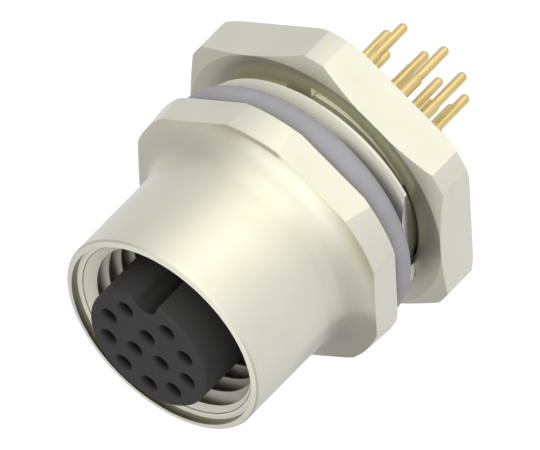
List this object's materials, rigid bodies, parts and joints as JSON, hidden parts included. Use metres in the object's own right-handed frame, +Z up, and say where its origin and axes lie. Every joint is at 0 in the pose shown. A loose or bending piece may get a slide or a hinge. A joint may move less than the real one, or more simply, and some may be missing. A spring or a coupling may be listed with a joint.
{
  "type": "m12 circular panel connector",
  "caption": "Round M12 panel-mount socket with hexagonal flange, seal, hexagonal nut, coded contact carrier and straight gold board pins.",
  "frame": {"origin": "on the plug axis, in the plane of the flange's rear face, where the panel sits", "axes": "Y along the plug axis: the mating face looks to -Y and the board pins to +Y. +Z is up, through the coding groove. +X is to the right seen from the mating side."},
  "size_m": [0.018, 0.0265, 0.02],
  "materials": {
    "nickel_plated_body": "satin nickel plate on turned brass",
    "nickel_plated_nut": "satin nickel plate on turned brass",
    "seal_rubber": "matt moulded rubber, mid grey",
    "carrier_plastic": "moulded polyamide, black",
    "holder_plastic": "moulded polyamide, black",
    "gold_plated_contact": "gold plate on turned copper alloy"
  },
  "bodies": {
    "body": {"housing": "nickel_plated_body", "flange_seal": "seal_rubber", "carrier_seal": "seal_rubber", "contact_carrier": "carrier_plastic", "contact_holder": "holder_plastic", "contact_01": "gold_plated_contact", "contact_02": "gold_plated_contact", "contact_03": "gold_plated_contact", "contact_04": "gold_plated_contact", "contact_05": "gold_plated_contact", "contact_06": "gold_plated_contact", "contact_07": "gold_plated_contact", "contact_08": "gold_plated_contact", "contact_09": "gold_plated_contact", "contact_10": "gold_plated_contact", "contact_11": "gold_plated_contact", "contact_12": "gold_plated_contact"},
    "nut": {"hex_nut": "nickel_plated_nut"}
  },
  "joints": [
    {"name": "nut_turn", "type": "hinge", "parent": "body", "child": "nut", "pos_m": [0, 0.0049, 0], "axis": [0, 1, 0], "continuous": true}
  ]
}
